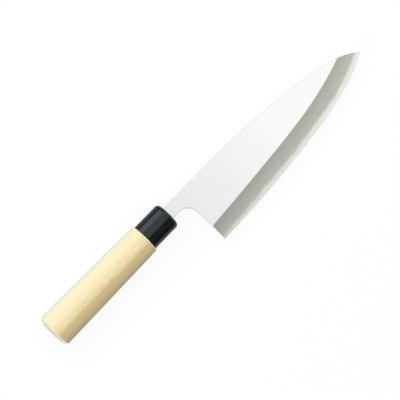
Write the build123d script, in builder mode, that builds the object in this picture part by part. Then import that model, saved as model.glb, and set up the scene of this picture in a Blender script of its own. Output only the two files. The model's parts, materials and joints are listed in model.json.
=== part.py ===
from build123d import *
from math import acos, atan2, degrees, hypot, sqrt
import os

# A deba: a heavy single-bevel Japanese kitchen knife with a 180 mm blade.
# The blade is two steels welded together. Soft iron carries the flat, the neck and the
# tang. A thin layer of hard steel is the hollow-ground back and comes out at the edge.
# The tang is driven into a magnolia handle with one soft ridge along it. A black ferrule
# sits on the handle's tenon, and resin closes the ferrule's slot round the tang.
#
# Sizes are in millimetres. X runs along the handle from the butt to the tip, +Y is the
# spine's side, and +Z is the bevelled face. The origin is the middle of the butt face.

# Grip: the wood and the ferrule are ovals with a soft ridge on the +Z side. A drop share is
# the ridge's distance from the axis towards the edge's side, against the half height.
wood_length = 102.9
butt_height = 29.5
butt_width = 21.6
front_height = 26.0
front_width = 19.4
ridge_rise = 0.9
wood_drop_share = 0.28
wood_ridge_radius = 6.5
dome_flat = 19.0
dome_rise = 2.8
rim_round = 0.4
front_chamfer = 0.6

# Ferrule, and the wood's tenon inside it.
ferrule_length = 26.5
ferrule_height = 23.2
ferrule_width = 17.2
ferrule_round = 3.3
ferrule_drop_share = 0.17
ferrule_ridge_radius = 1.5
ferrule_wall = 4.0
ferrule_chamfer = 0.25
tenon_length = 20.6
tenon_height = 16.6
tenon_width = 13.0
tenon_clearance = 0.05

# Neck and tang: the tang tapers from the ferrule's front to its end, deep in the wood.
neck_length = 17.7
neck_height = 11.1
tang_length = 86.0
tang_shoulder = 0.4
tang_end_height = 6.0
tang_end_thickness = 3.2
socket_clearance = 0.1
socket_end_gap = 4.0
seal_gap = 1.1
seal_corner = 1.2
seal_recess = 0.3

# Blade: the back is the plane z = -back_offset, and the flat slopes towards tip and edge.
blade_reach = 179.6
blade_height = 51.0
spine_offset = 6.1
tip_drop = 24.5
choil_radius = 10.2
bevel_heel_width = 14.0
back_offset = 3.6
spine_thickness = 7.4
bevel_thickness = 5.6
tip_thickness = 2.2
edge_land = 0.2
arris = 0.25

# The spine is straight from the neck, then three arcs, each tangent to the last. A joint
# gives the place along the blade's reach and the share of the tip's drop.
spine_joint_shares = [(0.14, 0.0), (0.626, 0.208), (0.871, 0.539), (1.0, 1.0)]

# Stations of the bevel. Each gives the place along the reach, the edge's rise towards the
# tip's height, and the bevel's width against that at the heel. The first and the last lie
# off the blade, so that the bevel is cut past both ends.
bevel_shares = [
    (-0.1, -0.01, 0.94),
    (0.0, 0.0, 1.0),
    (0.1, 0.017, 1.054),
    (0.2, 0.044, 1.097),
    (0.3, 0.082, 1.129),
    (0.4, 0.13, 1.143),
    (0.5, 0.191, 1.15),
    (0.6, 0.268, 1.157),
    (0.7, 0.367, 1.173),
    (0.8, 0.503, 1.205),
    (0.9, 0.692, 1.23),
    (1.0, 1.0, 1.24),
    (1.1, 1.45, 1.245),
]

# Hard steel: its layer over the back, a little wavy from the hammer, and the hollow that a
# big wheel grinds in it. A point of the layer gives the place along the reach and its
# thickness against that at the heel. A station of the hollow gives the place along the
# edge, and how far it opens to the rims.
steel_start = 8.0
steel_layer = 1.15
wheel_radius = 600.0
edge_rim = 3.0
spine_rim = 2.6
layer_shares = [
    (0.0, 1.0),
    (0.11, 1.05),
    (0.28, 1.13),
    (0.46, 0.92),
    (0.63, 0.89),
    (0.81, 0.74),
    (1.0, 0.83),
]
hollow_shares = [
    (0.025, 0.4),
    (0.055, 0.8),
    (0.11, 0.97),
    (0.3, 1.0),
    (0.5, 1.0),
    (0.7, 1.0),
    (0.83, 0.95),
    (0.91, 0.4),
]

overrun = 3.0

# Places that follow from the sizes.
ferrule_front = wood_length + ferrule_length
heel_x = ferrule_front + neck_length
tip_x = heel_x + blade_reach
tang_end_x = ferrule_front - tang_length
steel_x = heel_x - steel_start
back_z = -back_offset
heel_y = spine_offset - blade_height
neck_y = spine_offset - neck_height
tip_y = spine_offset - tip_drop
edge_rise = tip_y - heel_y
slope_across = (spine_thickness - bevel_thickness) / (blade_height - bevel_heel_width)
slope_along = (spine_thickness - tip_thickness - slope_across * tip_drop) / blade_reach


def flat_z(x, y):
    # The height of the blade's flat, a plane that slopes towards the tip and the edge.
    heel_z = back_z + spine_thickness
    return heel_z - slope_along * (x - heel_x) - slope_across * (spine_offset - y)


# The tang steps down from the flat at the ferrule's front.
neck_top = flat_z(ferrule_front, spine_offset)
tang_top = flat_z(ferrule_front, neck_y) - tang_shoulder
tang_thickness = tang_top - back_z
flat_normal = (slope_along, -slope_across, 1)
flat_plane = Plane((heel_x, spine_offset, flat_z(heel_x, spine_offset)), z_dir=flat_normal)


def grip_section(height, width, drop_share, ridge_radius):
    # The oval carries two short flats, tangent to it, that meet at the ridge.
    half_height = height / 2
    half_width = width / 2
    ridge_y = -drop_share * half_height
    ridge_z = half_width + ridge_rise
    across = ridge_y / half_height
    up = ridge_z / half_width
    facing = degrees(atan2(up, across))
    spread = degrees(acos(1 / hypot(across, up)))
    with BuildLine() as outline:
        oval = EllipticalCenterArc(
            (0, 0),
            half_height,
            half_width,
            start_angle=facing + spread,
            arc_size=360 - 2 * spread,
        )
        Polyline(oval @ 1, (ridge_y, ridge_z), oval @ 0)
    make_face(outline.edges())
    fillet(vertices().sort_by(Axis.Y)[-1], radius=ridge_radius)


def tang_section(x, margin):
    # The tang's rectangle at x. It narrows and moves onto the axis towards its end.
    share = (ferrule_front - x) / tang_length
    middle_y = (1 - share) * (spine_offset + neck_y) / 2
    middle_z = (1 - share) * (tang_top + back_z) / 2
    height = neck_height + share * (tang_end_height - neck_height)
    thickness = tang_thickness + share * (tang_end_thickness - tang_thickness)
    with Locations((middle_y, middle_z)):
        Rectangle(height + 2 * margin, thickness + 2 * margin)


print("sizes read")
with BuildPart() as handle:
    with BuildSketch(Plane.YZ):
        grip_section(butt_height, butt_width, wood_drop_share, wood_ridge_radius)
    with BuildSketch(Plane.YZ.offset(wood_length)):
        grip_section(front_height, front_width, wood_drop_share, wood_ridge_radius)
    loft(ruled=True)

    # The butt is worked to a low dome with a flat middle, and its rim is just eased.
    with BuildSketch(Plane.XY):
        with BuildLine():
            Line((0, 0), (0, dome_flat / 2))
            dome = TangentArc((0, dome_flat / 2), (dome_rise, butt_height / 2), tangent=(0, 1))
            Polyline(
                dome @ 1,
                (dome_rise, butt_height),
                (ferrule_front, butt_height),
                (ferrule_front, 0),
                (0, 0),
            )
        make_face()
    revolve(axis=Axis.X, mode=Mode.INTERSECT)
    sides = faces().filter_by(lambda side: side.center().X > dome_rise)
    fillet(sides.edges().filter_by(lambda rim: rim.center().X < dome_rise), radius=rim_round)
    chamfer(faces().sort_by(Axis.X)[-1].edges(), length=front_chamfer)
    with BuildSketch(Plane.YZ.offset(wood_length)):
        Ellipse(tenon_height / 2, tenon_width / 2)
    extrude(amount=tenon_length)
    with BuildSketch(Plane.YZ.offset(tang_end_x - socket_end_gap)):
        tang_section(tang_end_x - socket_end_gap, socket_clearance)
    with BuildSketch(Plane.YZ.offset(ferrule_front)):
        tang_section(ferrule_front, socket_clearance)
    loft(ruled=True, mode=Mode.SUBTRACT)

print("handle done")
with BuildPart() as ferrule:
    with BuildSketch(Plane.YZ.offset(wood_length)):
        grip_section(ferrule_height, ferrule_width, ferrule_drop_share, ferrule_ridge_radius)
    extrude(amount=ferrule_length)
    fillet(faces().sort_by(Axis.X)[-1].edges(), radius=ferrule_round)
    chamfer(faces().sort_by(Axis.X)[0].edges(), length=ferrule_chamfer)
    with BuildSketch(Plane.YZ.offset(wood_length)):
        Ellipse(tenon_height / 2 + tenon_clearance, tenon_width / 2 + tenon_clearance)
    extrude(amount=ferrule_length - ferrule_wall, mode=Mode.SUBTRACT)
    with BuildSketch(Plane.YZ.offset(ferrule_front - ferrule_wall)):
        tang_section(ferrule_front, seal_gap)
        fillet(vertices(), radius=seal_corner)
    extrude(amount=ferrule_wall, mode=Mode.SUBTRACT)

print("ferrule done")
with BuildLine() as spine:
    joints = [
        (heel_x + along * blade_reach, spine_offset - drop * tip_drop)
        for along, drop in spine_joint_shares
    ]
    last = Line((heel_x, spine_offset), joints[0])
    for joint in joints[1:]:
        last = TangentArc(last @ 1, joint, tangent=last % 1)

with BuildLine() as edge:
    stations = [
        (heel_x + along * blade_reach, heel_y + rise * edge_rise, width * bevel_heel_width)
        for along, rise, width in bevel_shares
    ]
    Spline([(x, y) for x, y, width in stations[1:-1]])

with BuildPart() as blade:
    # The outline, tang and all, with its top left high.
    with BuildSketch(Plane.XY.offset(back_z)):
        with BuildLine():
            add(spine.line)
            add(edge.line)
            Polyline(
                (heel_x, spine_offset),
                (ferrule_front, spine_offset),
                (tang_end_x, tang_end_height / 2),
                (tang_end_x, -tang_end_height / 2),
                (ferrule_front, neck_y),
                (heel_x - choil_radius, neck_y),
            )
            choil = TangentArc(
                (heel_x - choil_radius, neck_y),
                (heel_x, neck_y - choil_radius),
                tangent=(1, 0),
            )
            Line(choil @ 1, (heel_x, heel_y))
        make_face()
    extrude(amount=neck_top - back_z + overrun)

    # The flat, and the eased edges of the neck, the choil and the back's spine side.
    split(bisect_by=flat_plane, keep=Keep.BOTTOM)
    flat_edges = faces().sort_by(Axis.Z)[-1].edges()
    back_edges = faces().sort_by(Axis.Z)[0].edges()
    flat_spine = flat_edges.filter_by(lambda rim: rim.center().X > heel_x and rim.center().Y > tip_y)
    back_spine = back_edges.filter_by(lambda rim: rim.center().X > heel_x and rim.center().Y > tip_y)
    neck_edges = (flat_edges + back_edges).filter_by(lambda rim: ferrule_front < rim.center().X < heel_x)
    chamfer(neck_edges + back_spine, length=arris)

    # A square bar, run along the flat's spine edge on its corner, eases that edge.
    with BuildLine() as spine_path:
        add(Wire(flat_spine))
    with BuildSketch(Plane(spine_path.line @ 0, z_dir=spine_path.line % 0)):
        Rectangle(arris * sqrt(2), arris * sqrt(2), rotation=45)
    sweep(path=spine_path.line, mode=Mode.SUBTRACT)

    # The tang's shoulder and taper, seen from the spine.
    with BuildSketch(Plane.XZ):
        with BuildLine():
            Polyline(
                (tip_x + overrun, back_z),
                (ferrule_front, back_z),
                (tang_end_x, -tang_end_thickness / 2),
                (tang_end_x, tang_end_thickness / 2),
                (ferrule_front, tang_top),
                (ferrule_front, neck_top + overrun),
                (tip_x + overrun, neck_top + overrun),
                close=True,
            )
        make_face()
    extrude(amount=blade_height, both=True, mode=Mode.INTERSECT)

    # The bevel is ruled from the edge's land up to its line on the flat, and past both.
    for x, edge_y, width in stations:
        top_z = flat_z(x, edge_y + width)
        past = overrun * (top_z - back_z - edge_land) / width
        with BuildSketch(Plane.YZ.offset(x)):
            with BuildLine():
                Polyline(
                    (edge_y - overrun, back_z + edge_land - past),
                    (edge_y + width + overrun, top_z + past),
                    (edge_y - overrun, top_z + past),
                    close=True,
                )
            make_face()
    loft(mode=Mode.SUBTRACT)

    # The back's hollow, an arc of the wheel at each station, from rim to rim.
    for along, opening in hollow_shares:
        low = edge.wire() @ along
        across = spine.wire() @ along - low
        middle = (across.length + edge_rim - spine_rim) / 2
        reach = opening * (across.length - edge_rim - spine_rim) / 2
        station = Plane(Vector(low.X, low.Y, back_z), x_dir=across, z_dir=(across.Y, -across.X, 0))
        with BuildSketch(station):
            with BuildLine():
                RadiusArc((middle - reach, 0), (middle + reach, 0), wheel_radius)
                Polyline(
                    (middle + reach, 0),
                    (middle + reach, -overrun),
                    (middle - reach, -overrun),
                    (middle - reach, 0),
                )
            make_face()
    loft(mode=Mode.SUBTRACT)

print("blade done")


def weld_section():
    # The layer of hard steel and all that is under it, seen from the spine.
    with BuildLine() as outline:
        weld = Spline(
            [(heel_x + along * blade_reach, back_z + layer * steel_layer) for along, layer in layer_shares]
        )
        Polyline(
            weld @ 1,
            (tip_x + overrun, (weld @ 1).Y),
            (tip_x + overrun, back_z - overrun),
            (steel_x, back_z - overrun),
            (steel_x, (weld @ 0).Y),
            weld @ 0,
        )
    make_face(outline.edges())


with BuildPart() as blade_iron:
    add(blade.part)
    with BuildSketch(Plane.XZ):
        weld_section()
    extrude(amount=blade_height, both=True, mode=Mode.SUBTRACT)

with BuildPart() as hard_steel:
    add(blade.part)
    with BuildSketch(Plane.XZ):
        weld_section()
    extrude(amount=blade_height, both=True, mode=Mode.INTERSECT)

with BuildPart() as tang_seal:
    with BuildSketch(Plane.YZ.offset(ferrule_front - ferrule_wall)):
        tang_section(ferrule_front, seal_gap)
        fillet(vertices(), radius=seal_corner)
    extrude(amount=ferrule_wall - seal_recess)
    add(blade.part, mode=Mode.SUBTRACT)

os.makedirs("parts", exist_ok=True)
pieces = [
    ("handle", handle),
    ("ferrule", ferrule),
    ("tang_seal", tang_seal),
    ("blade_iron", blade_iron),
    ("hard_steel", hard_steel),
]
for name, piece in pieces:
    piece.part.label = name
    export_step(piece.part, f"parts/{name}.step")
    print(name, len(piece.part.solids()), round(piece.part.volume))
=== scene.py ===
import bmesh
import bpy
import json
from math import cos, pi, radians, sin
from mathutils import Matrix, Vector


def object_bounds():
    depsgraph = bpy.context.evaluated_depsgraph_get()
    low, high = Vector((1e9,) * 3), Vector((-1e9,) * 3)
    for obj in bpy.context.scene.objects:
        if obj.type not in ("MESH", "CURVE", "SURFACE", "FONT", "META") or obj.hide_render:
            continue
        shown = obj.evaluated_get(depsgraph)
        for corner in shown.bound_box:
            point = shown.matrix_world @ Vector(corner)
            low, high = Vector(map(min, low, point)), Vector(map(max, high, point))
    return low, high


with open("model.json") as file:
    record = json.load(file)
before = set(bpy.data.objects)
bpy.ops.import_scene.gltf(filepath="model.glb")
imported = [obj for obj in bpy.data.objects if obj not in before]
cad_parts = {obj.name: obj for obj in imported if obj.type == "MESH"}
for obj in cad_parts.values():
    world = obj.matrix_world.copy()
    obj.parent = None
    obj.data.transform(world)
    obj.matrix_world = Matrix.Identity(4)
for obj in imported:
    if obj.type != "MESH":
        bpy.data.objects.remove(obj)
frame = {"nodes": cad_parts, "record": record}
cadLow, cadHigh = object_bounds()
mm = 0.001
nodes = frame["nodes"]
mounts = {mount["name"]: mount for mount in frame["record"]["mounts"]}
usualSpan = (0.25, 0.75)  # where most values of a noise lie
wideSpan = (0.2, 0.8)     # where nearly all of them lie


def hexColour(code):  # an sRGB hex code as linear RGBA, by the standard's own curve
    channels = [int(code[place:place + 2], 16) / 255 for place in (1, 3, 5)]
    linear = [c / 12.92 if c <= 0.04045 else ((c + 0.055) / 1.055) ** 2.4 for c in channels]
    return (*linear, 1)


def grey(level):
    return (level, level, level, 1)


# Inputs are a list in the order of the sockets in use, or a dictionary by their names. A value
# is a constant, a socket or a node, which stands for its first output in use.
def addNode(tree, kind, inputs=(), **settings):
    node = tree.nodes.new(kind)
    for name, value in settings.items():
        setattr(node, name, value)
    sockets = [socket for socket in node.inputs if socket.enabled]
    if isinstance(inputs, dict):
        sockets = [next(s for s in sockets if s.name == name) for name in inputs]
        inputs = inputs.values()
    for socket, value in zip(sockets, inputs):
        if isinstance(value, bpy.types.Node):
            value = next(s for s in value.outputs if s.enabled)
        if isinstance(value, bpy.types.NodeSocket):
            tree.links.new(value, socket)
        else:
            socket.default_value = value
    return node


def newMaterial(name):
    material = bpy.data.materials.new(name)
    material.use_nodes = True
    material.node_tree.nodes.clear()
    return material, material.node_tree


def setStops(ramp, stops):  # stops are (place, colour) pairs, from left to right
    elements = ramp.color_ramp.elements
    while len(elements) < len(stops):
        elements.new(1)
    for element, (place, colour) in zip(elements, stops):
        element.position = place
        element.color = colour


def dress(name, material):  # every slot of a CAD node gets the one material
    slots = nodes[name].material_slots
    if not slots:
        nodes[name].data.materials.append(material)
    for slot in slots:
        slot.material = material


# Camera: a long lens, square to the blade but for a tilt that shows the butt's rim.
shot = {
    "target": (154.8, -9.9, 0.0),  # what the middle of the picture looks at, in mm
    "tilt": 7.5,                    # degrees towards the butt
    "roll": 45.7,                   # slope of the handle in the picture, in degrees
    "pixel": 0.7775,                # mm on the knife for one pixel of the picture
    "pixels": 400,                  # across the picture
    "lens": 1200.0,                 # mm, as the sensor's width is
    "sensor": 36.0,
}


def placeCamera():
    tilt = radians(shot["tilt"])
    roll = radians(shot["roll"])
    toCamera = Vector((-sin(tilt), 0, cos(tilt)))
    along = Vector((cos(tilt), 0, sin(tilt)))
    spineward = Vector((0, 1, 0))
    right = along * cos(roll) - spineward * sin(roll)
    up = along * sin(roll) + spineward * cos(roll)
    halfWidth = shot["pixel"] * shot["pixels"] / 2 * mm
    distance = halfWidth * shot["lens"] / (shot["sensor"] / 2)
    data = bpy.data.cameras.new("camera")
    data.lens = shot["lens"]
    data.sensor_width = shot["sensor"]
    camera = bpy.data.objects.new("camera", data)
    bpy.context.scene.collection.objects.link(camera)
    place = Vector(shot["target"]) * mm + toCamera * distance
    turn = Matrix((right, up, toCamera)).transposed().to_4x4()
    camera.matrix_world = Matrix.Translation(place) @ turn
    bpy.context.scene.camera = camera


placeCamera()
print("camera placed")

# Studio: a white floor, a room that is bright overhead and dark low down at the sides, and three
# soft boxes: over the spine's side, which lights the handle's slopes, and beyond both ends.
studio = {
    "floorRadius": 6.0,
    "floorSides": 96,
    "floorSeen": "#FAFAFA",         # the paper as the camera and reflections see it
    "floorBounce": "#989A98",       # what the floor sends back onto the knife
    "floorGlow": 0.88,              # how much of the seen floor is plain white, unshaded
    # Brightness of the room by direction, from the edge's side (0) to the spine's side (1).
    "roomStops": [(0.0, 0.12), (0.09, 0.06), (0.17, 0.9), (0.3, 1.1),
                  (0.45, 1.24), (0.6, 1.0), (0.85, 0.75), (1.0, 0.2)],
    "wallShare": 0.6,               # brightness at the horizon against that overhead
    "wallTop": 0.9,                 # how far up it grows, as the upward part of the direction
}
# Radiance is 1 where it shows as white. The angle is in degrees from straight up, towards the
# side that "towards" gives in X and Y, and "aside" leans the box to the spine's side as well.
softBoxes = {
    "keyBox": {"radiance": 2.4, "size": 0.95, "distance": 1.5, "angle": 49.0,
               "towards": (0, 1), "aside": 0.0},
    "tipBox": {"radiance": 1.2, "size": 0.7, "distance": 1.6, "angle": 62.0,
               "towards": (1, 0), "aside": 0.2},
    "buttBox": {"radiance": 2.3, "size": 0.8, "distance": 1.5, "angle": 72.0,
                "towards": (-1, 0), "aside": 0.0},
}


def makeRoom():
    world = bpy.data.worlds.new("studioRoom")
    bpy.context.scene.world = world
    world.use_nodes = True
    tree = world.node_tree
    tree.nodes.clear()
    direction = addNode(tree, "ShaderNodeTexCoord").outputs["Generated"]
    parts = addNode(tree, "ShaderNodeSeparateXYZ", [direction]).outputs
    sideways = addNode(tree, "ShaderNodeMapRange", {"Value": parts["Y"], "From Min": -1.0})
    ramp = addNode(tree, "ShaderNodeValToRGB", [sideways])
    ramp.color_ramp.interpolation = "B_SPLINE"
    setStops(ramp, [(place, grey(level)) for place, level in studio["roomStops"]])
    wall = addNode(tree, "ShaderNodeMapRange", {"Value": parts["Z"], "From Max": studio["wallTop"],
                                                "To Min": studio["wallShare"]})
    light = addNode(tree, "ShaderNodeBackground", {"Color": ramp, "Strength": wall})
    addNode(tree, "ShaderNodeOutputWorld", {"Surface": light})


def addSoftBox(name, box):
    data = bpy.data.lights.new(name, "AREA")
    data.shape = "SQUARE"
    data.size = box["size"]
    data.energy = box["radiance"] * pi * box["size"] ** 2  # watts that give this radiance
    lamp = bpy.data.objects.new(name, data)
    bpy.context.scene.collection.objects.link(lamp)
    angle = radians(box["angle"])
    towardsX, towardsY = box["towards"]
    away = Vector((towardsX * sin(angle), towardsY * sin(angle) + box["aside"], cos(angle)))
    away.normalize()
    place = (cadLow + cadHigh) / 2 + away * box["distance"]
    turn = away.to_track_quat("Z", "Y").to_matrix().to_4x4()
    lamp.matrix_world = Matrix.Translation(place) @ turn


# White paper: matte, and partly lit from itself where it is seen, so that it stays white.
def makePaper():
    material, tree = newMaterial("whitePaper")
    path = addNode(tree, "ShaderNodeLightPath").outputs
    seen = addNode(tree, "ShaderNodeMath", [path["Is Camera Ray"], path["Is Glossy Ray"]],
                   operation="MAXIMUM")
    seen = addNode(tree, "ShaderNodeMath", [seen, path["Is Transmission Ray"]],
                   operation="MAXIMUM")
    glowShare = addNode(tree, "ShaderNodeMath", [seen, studio["floorGlow"]], operation="MULTIPLY")
    tones = [seen, hexColour(studio["floorBounce"]), hexColour(studio["floorSeen"])]
    tone = addNode(tree, "ShaderNodeMix", tones, data_type="RGBA")
    paper = addNode(tree, "ShaderNodeBsdfDiffuse", {"Color": tone})
    glow = addNode(tree, "ShaderNodeEmission", {"Color": grey(1), "Strength": 1.0})
    surface = addNode(tree, "ShaderNodeMixShader", [glowShare, paper, glow])
    addNode(tree, "ShaderNodeOutputMaterial", {"Surface": surface})
    return material


def makeFloor():
    shape = bmesh.new()
    bmesh.ops.create_circle(shape, cap_ends=True, segments=studio["floorSides"],
                            radius=studio["floorRadius"])
    bmesh.ops.translate(shape, verts=shape.verts, vec=(cadHigh.x / 2, 0, cadLow.z))
    mesh = bpy.data.meshes.new("floor")
    shape.to_mesh(mesh)
    shape.free()
    mesh.materials.append(makePaper())
    floor = bpy.data.objects.new("floor", mesh)
    bpy.context.scene.collection.objects.link(floor)


makeRoom()
for boxName, softBox in softBoxes.items():
    addSoftBox(boxName, softBox)
makeFloor()
print("studio lit")


def placeInMm(tree):  # the object's coordinates in mm, and its own normal
    where = addNode(tree, "ShaderNodeTexCoord").outputs
    place = addNode(tree, "ShaderNodeVectorMath", [where["Object"], 1 / mm], operation="SCALE")
    return place, where["Normal"]


# A noise whose spots are size mm long along X, Y and Z; turned about Z by turn degrees first.
def addGrain(tree, place, size, detail=2.0, turn=0.0):
    turned = addNode(tree, "ShaderNodeMapping", {"Vector": place, "Rotation": (0, 0, radians(turn))})
    scaled = addNode(tree, "ShaderNodeVectorMath", [turned, tuple(1 / length for length in size)],
                     operation="MULTIPLY")
    return addNode(tree, "ShaderNodeTexNoise", {"Vector": scaled, "Scale": 1.0, "Detail": detail})


# The shader of a piece, with bumps that follow the height of one of its patterns.
def addSurface(tree, piece, height, look):
    bump = addNode(tree, "ShaderNodeBump", {"Height": height, "Strength": piece["bump"],
                                            "Distance": piece["relief"] * mm})
    shader = addNode(tree, "ShaderNodeBsdfPrincipled", {**look, "Normal": bump})
    addNode(tree, "ShaderNodeOutputMaterial", {"Surface": shader})


# Magnolia, bare and finely sanded: pale cream with faint straight grain, soft sheen, and a
# pinker, ringed end grain at the butt. Sizes are in mm.
wood = {
    # The board's colours across the handle by Y, from pale sapwood to the greener heartwood, with painted
    # light and shade on top: lighter on the lit spine's side, darker down the lower flank.
    "bodyWithPaintedShade": [(13.0, "#FFF9D8"), (0.0, "#EEDFAC"), (-8.0, "#E1CB95"), (-13.5, "#CAC29A")],
    "ringLine": "#D8BC84",
    "ringShare": 0.1,               # how strongly the ring lines show
    # How strong a ring's own line is, from where the ring starts (0) to where it ends (1).
    "ringStops": [(0.0, 0.25), (0.12, 0.0), (0.7, 0.28), (0.92, 1.0), (1.0, 0.25)],
    "ringSpacing": 4.3,
    "pith": (0, -58.0, -46.0),      # where the tree's middle lay
    "wander": 3.0,                  # how far a ring strays along the handle
    "wanderGrain": {"size": (95.0, 16.0, 16.0), "detail": 1.0},
    # Real fibres, flecks and pores are finer; these are as fine as the picture can show.
    "fibreGrain": {"size": (22.0, 0.8, 0.8), "detail": 3.0},
    "fibreShades": (0.94, 1.03),
    "streak": "#D69E60",
    "streakGrain": {"size": (7.0, 0.8, 0.8), "detail": 2.5},
    "streakSpan": (0.5, 0.72),      # values of that grain between which a streak sets in
    "streakPlace": -3.5,            # across the handle, near the ridge
    "streakSpread": 6.0,
    "streakShares": (0.6, 0.08),    # how strongly streaks show at that place and beyond the spread
    "endGrain": "#FFF2DA",
    "endRing": "#E6D2B0",
    "endRingShare": 0.45,           # how strongly the ring lines show on the butt
    "poreSize": 0.45,
    "poreSpan": (0.12, 0.4),        # from a pore's dark middle to its edge, as shares of its size
    "poreShade": 0.86,
    "cutEdgeAndHighlight": "#FBF6E4",           # the paler cut fibres of the front shoulder, with a painted highlight
    "buttFacing": (-0.5, -0.85),    # X of the normal, from the long faces to the butt
    "frontFacing": (0.35, 0.6),     # and to the front shoulder
    "roughness": (0.5, 0.62),       # drifts with the fibres
    "ior": 1.5,
    "bump": 0.35,
    "relief": 0.02,
}


def addRings(tree, place):  # rings round the pith, bright where their line is
    across = addNode(tree, "ShaderNodeVectorMath", [place, (0, 1, 1)], operation="MULTIPLY")
    radius = addNode(tree, "ShaderNodeVectorMath", [across, wood["pith"]], operation="DISTANCE")
    stray = addGrain(tree, place, **wood["wanderGrain"])
    stray = addNode(tree, "ShaderNodeMapRange", {"Value": stray, "To Min": -wood["wander"],
                                                 "To Max": wood["wander"]})
    strayed = addNode(tree, "ShaderNodeMath", [radius, stray], operation="ADD")
    rings = addNode(tree, "ShaderNodeMath", [strayed, wood["ringSpacing"]], operation="DIVIDE")
    ring = addNode(tree, "ShaderNodeMath", [rings], operation="FRACT")
    lines = addNode(tree, "ShaderNodeValToRGB", [ring])
    lines.color_ramp.interpolation = "EASE"
    setStops(lines, [(share, grey(level)) for share, level in wood["ringStops"]])
    return lines


def colourLongFaces(tree, place, lines, fibre):  # tones with painted light and shade, ring lines, flecks and fibres
    across = addNode(tree, "ShaderNodeSeparateXYZ", [place]).outputs["Y"]
    # Colour across the handle by Y: the wood's own tones plus painted shade, darker towards the lower
    # flank.
    top, bottom = wood["bodyWithPaintedShade"][0][0], wood["bodyWithPaintedShade"][-1][0]
    down = addNode(tree, "ShaderNodeMapRange", [across, top, bottom])
    colour = addNode(tree, "ShaderNodeValToRGB", [down])
    setStops(colour, [((top - y) / (top - bottom), hexColour(code)) for y, code in wood["bodyWithPaintedShade"]])
    lineShare = addNode(tree, "ShaderNodeMath", [lines, wood["ringShare"]], operation="MULTIPLY")
    colour = addNode(tree, "ShaderNodeMix", [lineShare, colour, hexColour(wood["ringLine"])],
                     data_type="RGBA")
    streak = addGrain(tree, place, **wood["streakGrain"])
    streak = addNode(tree, "ShaderNodeMapRange", [streak, *wood["streakSpan"]],
                     interpolation_type="SMOOTHSTEP")
    fromRidge = addNode(tree, "ShaderNodeMath", [across, wood["streakPlace"]], operation="SUBTRACT")
    fromRidge = addNode(tree, "ShaderNodeMath", [fromRidge], operation="ABSOLUTE")
    band = addNode(tree, "ShaderNodeMapRange",
                   [fromRidge, 0.0, wood["streakSpread"], *wood["streakShares"]],
                   interpolation_type="SMOOTHSTEP")
    streak = addNode(tree, "ShaderNodeMath", [streak, band], operation="MULTIPLY")
    colour = addNode(tree, "ShaderNodeMix", [streak, colour, hexColour(wood["streak"])],
                     data_type="RGBA")
    shade = addNode(tree, "ShaderNodeMapRange", [fibre, *usualSpan, *wood["fibreShades"]])
    return addNode(tree, "ShaderNodeMix", [1.0, colour, shade], data_type="RGBA", blend_type="MULTIPLY")


def colourEndGrain(tree, place, lines):  # stronger ring lines, and pores
    pores = addNode(tree, "ShaderNodeTexVoronoi", {"Vector": place, "Scale": 1 / wood["poreSize"]})
    pore = addNode(tree, "ShaderNodeMapRange", [pores, *wood["poreSpan"], wood["poreShade"], 1.0])
    share = addNode(tree, "ShaderNodeMath", [lines, wood["endRingShare"]], operation="MULTIPLY")
    tones = [share, hexColour(wood["endGrain"]), hexColour(wood["endRing"])]
    colour = addNode(tree, "ShaderNodeMix", tones, data_type="RGBA")
    return addNode(tree, "ShaderNodeMix", [1.0, colour, pore], data_type="RGBA", blend_type="MULTIPLY")


def makeWood():
    material, tree = newMaterial("sandedMagnolia")
    place, normal = placeInMm(tree)
    lines = addRings(tree, place)
    fibre = addGrain(tree, place, **wood["fibreGrain"])
    facing = addNode(tree, "ShaderNodeSeparateXYZ", [normal]).outputs["X"]
    butt = addNode(tree, "ShaderNodeMapRange", [facing, *wood["buttFacing"]],
                   interpolation_type="SMOOTHSTEP")
    front = addNode(tree, "ShaderNodeMapRange", [facing, *wood["frontFacing"]],
                    interpolation_type="SMOOTHSTEP")
    longFaces = colourLongFaces(tree, place, lines, fibre)
    endGrain = colourEndGrain(tree, place, lines)
    colour = addNode(tree, "ShaderNodeMix", [butt, longFaces, endGrain], data_type="RGBA")
    # The front shoulder is paler: partly its cut fibres, partly a painted highlight.
    colour = addNode(tree, "ShaderNodeMix", [front, colour, hexColour(wood["cutEdgeAndHighlight"])],
                     data_type="RGBA")
    rough = addNode(tree, "ShaderNodeMapRange", [fibre, *wideSpan, *wood["roughness"]])
    addSurface(tree, wood, fibre, {"Base Color": colour, "Roughness": rough, "IOR": wood["ior"]})
    return material


dress("handle", makeWood())
print("handle finished")

# Ferrule of black acrylic, turned and polished: deep black with a clear, slightly uneven
# reflection and faint polishing lines round it. Sizes are in mm.
ferrule = {
    "black": "#030405",
    "worn": "#090C0E",
    "cloudGrain": {"size": (4.0, 2.5, 2.5), "detail": 4.0},
    "wornSpan": (0.45, 0.8),        # values of that grain between which the black is worn
    "roughness": (0.2, 0.36),       # from its clear to its clouded places
    "reflection": "#ECFAFF",        # the cool tint of its reflections
    "ior": 1.46,
    "lineGrain": {"size": (0.5, 14.0, 14.0)},  # drawn as coarse as the picture can show
    "bump": 0.3,
    "relief": 0.008,
}


def makeFerrule():
    material, tree = newMaterial("polishedBlackAcrylic")
    place = placeInMm(tree)[0]
    lines = addGrain(tree, place, **ferrule["lineGrain"])
    cloud = addGrain(tree, place, **ferrule["cloudGrain"])
    worn = addNode(tree, "ShaderNodeMapRange", [cloud, *ferrule["wornSpan"]])
    tones = [worn, hexColour(ferrule["black"]), hexColour(ferrule["worn"])]
    colour = addNode(tree, "ShaderNodeMix", tones, data_type="RGBA")
    rough = addNode(tree, "ShaderNodeMapRange", [cloud, *usualSpan, *ferrule["roughness"]])
    addSurface(tree, ferrule, lines, {"Base Color": colour, "Roughness": rough, "IOR": ferrule["ior"],
                                      "Specular Tint": hexColour(ferrule["reflection"])})
    return material


dress("ferrule", makeFerrule())

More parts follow.
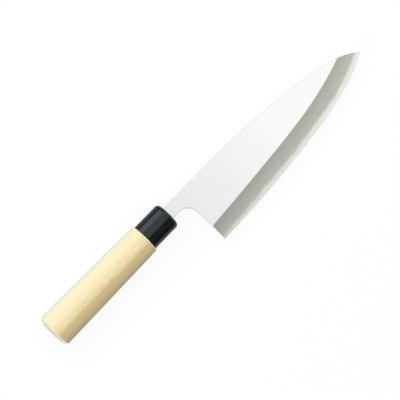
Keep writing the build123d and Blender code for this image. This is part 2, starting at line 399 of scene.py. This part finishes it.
# Set resin round the tang: dark brown, half gloss, with a poured, slightly lumpy top. Sizes
# are in mm.
seal = {
    "brown": "#241A12",
    "pale": "#3A2C1F",
    "lumpGrain": {"size": (1.1, 1.1, 1.1), "detail": 3.0},
    "roughness": 0.34,
    "ior": 1.54,
    "bump": 0.6,
    "relief": 0.08,
}


def makeSeal():
    material, tree = newMaterial("setResin")
    place = placeInMm(tree)[0]
    lumps = addGrain(tree, place, **seal["lumpGrain"])
    tones = [lumps, hexColour(seal["brown"]), hexColour(seal["pale"])]
    colour = addNode(tree, "ShaderNodeMix", tones, data_type="RGBA")
    addSurface(tree, seal, lumps, {"Base Color": colour, "Roughness": seal["roughness"],
                                   "IOR": seal["ior"]})
    return material


dress("tang_seal", makeSeal())
print("ferrule and seal finished")

# Blade: one finish for each face. The flat and the back are polished, the bevel is ground matte
# on a stone, the hard steel that comes out along the edge is brighter, and the sides are a dull,
# even grey. Sizes are in mm.
blade = {
    "flatNearSteelAndReflection": "#EAECED",          # at the neck, darker with painted reflection
    "flatFarSteelAndReflection": "#FAFBFA",           # towards the tip, whiter with painted reflection
    "flatReflectionDrift": (-20.0, 110.0),    # where the one turns into the other, along X from the heel
    "flatRoughness": 0.3,
    # Polishing lines along the flat, drawn as coarse as the picture can show.
    "brushGrain": {"size": (38.0, 0.5, 0.5), "detail": 3.0},
    "flatShades": (0.97, 1.01),
    "bevelTop": "#BBBEB6",          # along the bevel's upper line
    "bevelLow": "#D6D6D1",          # beside the hard steel
    "bevelFade": 0.75,              # how far down the bevel that tone is reached
    "bevelRoughness": 0.56,
    # Clouds left by the stone, and its scratches, drawn as coarse as the picture can show.
    "cloudGrain": {"size": (14.0, 7.0, 7.0)},
    "cloudTints": [(0.3, "#E6EEDF"), (0.45, "#F4F4EE"), (0.56, "#FCF3E8"), (0.7, "#F6F2FC")],
    "cloudShare": 0.5,
    "scratchGrain": {"size": (9.0, 0.45, 0.45), "detail": 3.0, "turn": 62.0},
    "scratchShades": (0.93, 1.07),
    "strip": "#F1F0EA",             # the hard steel along the edge
    "stripRoughness": 0.46,
    "weldHeight": 1.15,             # the hard steel over the back at the heel
    "weldShares": [(0.0, 1.0), (0.11, 1.05), (0.28, 1.13), (0.46, 0.92),
                   (0.63, 0.89), (0.81, 0.74), (1.0, 0.83)],  # of that height, heel to tip
    "weldBumpGrain": {"size": (7.5, 7.5, 7.5)},
    "weldBump": 0.05,               # height of the line's bumps, against the thickness there
    "weldBlur": 0.11,
    "sideColour": "#DFE1E1",        # spine, choil and heel
    "sideRoughness": 0.6,
    "rimColour": "#E6E7E6",
    "rimRoughness": 0.25,
    "hollowColour": "#C9CBCB",
    "hollowRoughness": 0.4,
    "faceSpan": (0.8, 0.88),        # Z of the normal, from the sides to a face
    "flatEdge": (0.01, 0.05),       # how far under the flat the bevel's finish sets in
    "hollowEdge": (0.01, 0.04),     # how far over the back's rim the hollow's finish sets in
    "bump": 0.2,
    "relief": 0.01,
}
tipX = cadHigh.x / mm
heelX = mounts["saya"]["pos_m"][0] / mm


def depthBehind(tree, place, mount):  # how far a place lies behind a mount's face
    point = tuple(c / mm for c in mount["pos_m"])
    away = addNode(tree, "ShaderNodeVectorMath", [place, point], operation="SUBTRACT")
    ahead = addNode(tree, "ShaderNodeVectorMath", [away, tuple(mount["axis"])],
                    operation="DOT_PRODUCT")
    return addNode(tree, "ShaderNodeMath", [ahead, -1.0], operation="MULTIPLY")


def placeOnBlade(tree, place, normal):  # measures and masks that the finishes of the blade read
    depth = depthBehind(tree, place, mounts["front_flat"])
    height = depthBehind(tree, place, mounts["back_rim"])
    thickness = addNode(tree, "ShaderNodeMath", [height, depth], operation="ADD")
    depthShare = addNode(tree, "ShaderNodeMath", [depth, thickness], operation="DIVIDE")
    along = addNode(tree, "ShaderNodeSeparateXYZ", [place]).outputs["X"]
    up = addNode(tree, "ShaderNodeSeparateXYZ", [normal]).outputs["Z"]
    down = [-level for level in blade["faceSpan"]]
    masks = {"faceUp": [up, *blade["faceSpan"]], "faceDown": [up, *down],
             "offFlat": [depth, *blade["flatEdge"]], "hollow": [height, *blade["hollowEdge"]]}
    on = {name: addNode(tree, "ShaderNodeMapRange", span, interpolation_type="SMOOTHSTEP")
          for name, span in masks.items()}
    return {**on, "height": height, "thickness": thickness, "depthShare": depthShare, "along": along}


def finishFlat(tree, place, on):  # painted reflection: its tone drifts a little from darker at the neck to whiter at the tip
    start, end = blade["flatReflectionDrift"]
    drift = addNode(tree, "ShaderNodeMapRange", [on["along"], heelX + start, heelX + end],
                    interpolation_type="SMOOTHSTEP")
    tones = [drift, hexColour(blade["flatNearSteelAndReflection"]), hexColour(blade["flatFarSteelAndReflection"])]
    colour = addNode(tree, "ShaderNodeMix", tones, data_type="RGBA")
    brush = addGrain(tree, place, **blade["brushGrain"])
    shade = addNode(tree, "ShaderNodeMapRange", [brush, *usualSpan, *blade["flatShades"]])
    colour = addNode(tree, "ShaderNodeMix", [1.0, colour, shade], data_type="RGBA", blend_type="MULTIPLY")
    return colour, brush


# The hard steel's line wanders, and its bumps follow the blade's thickness.
def maskHardSteel(tree, place, on):
    reach = addNode(tree, "ShaderNodeMapRange", [on["along"], heelX, tipX])
    weld = addNode(tree, "ShaderNodeFloatCurve", {"Value": reach})
    curve = weld.mapping.curves[0]
    weld.mapping.use_clip = False
    for reachShare, heightShare in blade["weldShares"][1:-1]:
        curve.points.new(reachShare, heightShare)
    curve.points[0].location = blade["weldShares"][0]
    curve.points[-1].location = blade["weldShares"][-1]
    weld.mapping.update()
    weldHeight = addNode(tree, "ShaderNodeMath", [weld, blade["weldHeight"]], operation="MULTIPLY")
    bumps = addGrain(tree, place, **blade["weldBumpGrain"])
    bumps = addNode(tree, "ShaderNodeMapRange",
                    [bumps, *wideSpan, -blade["weldBump"], blade["weldBump"]])
    fromWeld = addNode(tree, "ShaderNodeMath", [on["height"], weldHeight], operation="SUBTRACT")
    fromWeld = addNode(tree, "ShaderNodeMath", [fromWeld, on["thickness"]], operation="DIVIDE")
    fromWeld = addNode(tree, "ShaderNodeMath", [fromWeld, bumps], operation="ADD")
    return addNode(tree, "ShaderNodeMapRange", [fromWeld, blade["weldBlur"], -blade["weldBlur"]],
                   interpolation_type="SMOOTHSTEP")


def finishBevel(tree, place, on):  # clouded, and darker and greener along its upper line
    down = addNode(tree, "ShaderNodeMapRange", {"Value": on["depthShare"], "From Max": blade["bevelFade"]})
    tones = [down, hexColour(blade["bevelTop"]), hexColour(blade["bevelLow"])]
    colour = addNode(tree, "ShaderNodeMix", tones, data_type="RGBA")
    cloud = addGrain(tree, place, **blade["cloudGrain"])
    tint = addNode(tree, "ShaderNodeValToRGB", [cloud])
    setStops(tint, [(level, hexColour(code)) for level, code in blade["cloudTints"]])
    colour = addNode(tree, "ShaderNodeMix", [blade["cloudShare"], colour, tint],
                     data_type="RGBA", blend_type="MULTIPLY")
    scratch = addGrain(tree, place, **blade["scratchGrain"])
    shade = addNode(tree, "ShaderNodeMapRange", [scratch, *usualSpan, *blade["scratchShades"]])
    colour = addNode(tree, "ShaderNodeMix", [1.0, colour, shade], data_type="RGBA", blend_type="MULTIPLY")
    steel = maskHardSteel(tree, place, on)
    colour = addNode(tree, "ShaderNodeMix", [steel, colour, hexColour(blade["strip"])],
                     data_type="RGBA")
    rough = addNode(tree, "ShaderNodeMapRange", {"Value": steel, "To Min": blade["bevelRoughness"],
                                                 "To Max": blade["stripRoughness"]})
    return colour, rough, scratch


def finishBack(tree, on):  # a bright rim round the ground hollow
    tones = [on["hollow"], hexColour(blade["rimColour"]), hexColour(blade["hollowColour"])]
    colour = addNode(tree, "ShaderNodeMix", tones, data_type="RGBA")
    rough = addNode(tree, "ShaderNodeMapRange", {"Value": on["hollow"], "To Min": blade["rimRoughness"],
                                                 "To Max": blade["hollowRoughness"]})
    return colour, rough


def makeBladeFinish(name):
    material, tree = newMaterial(name)
    place, normal = placeInMm(tree)
    on = placeOnBlade(tree, place, normal)
    flat, brush = finishFlat(tree, place, on)
    bevel, bevelRough, scratch = finishBevel(tree, place, on)
    back, backRough = finishBack(tree, on)
    top = addNode(tree, "ShaderNodeMix", [on["offFlat"], flat, bevel], data_type="RGBA")
    topRough = addNode(tree, "ShaderNodeMix", [on["offFlat"], blade["flatRoughness"], bevelRough])
    colour = addNode(tree, "ShaderNodeMix", [on["faceUp"], hexColour(blade["sideColour"]), top],
                     data_type="RGBA")
    rough = addNode(tree, "ShaderNodeMix", [on["faceUp"], blade["sideRoughness"], topRough])
    colour = addNode(tree, "ShaderNodeMix", [on["faceDown"], colour, back], data_type="RGBA")
    rough = addNode(tree, "ShaderNodeMix", [on["faceDown"], rough, backRough])
    relief = addNode(tree, "ShaderNodeMix", [on["offFlat"], brush, scratch])
    addSurface(tree, blade, relief, {"Base Color": colour, "Metallic": 1.0, "Roughness": rough})
    return material


dress("blade_iron", makeBladeFinish("groundSoftIron"))
dress("hard_steel", makeBladeFinish("groundHardSteel"))
print("blade finished")

bpy.context.scene.view_settings.view_transform = "Standard"
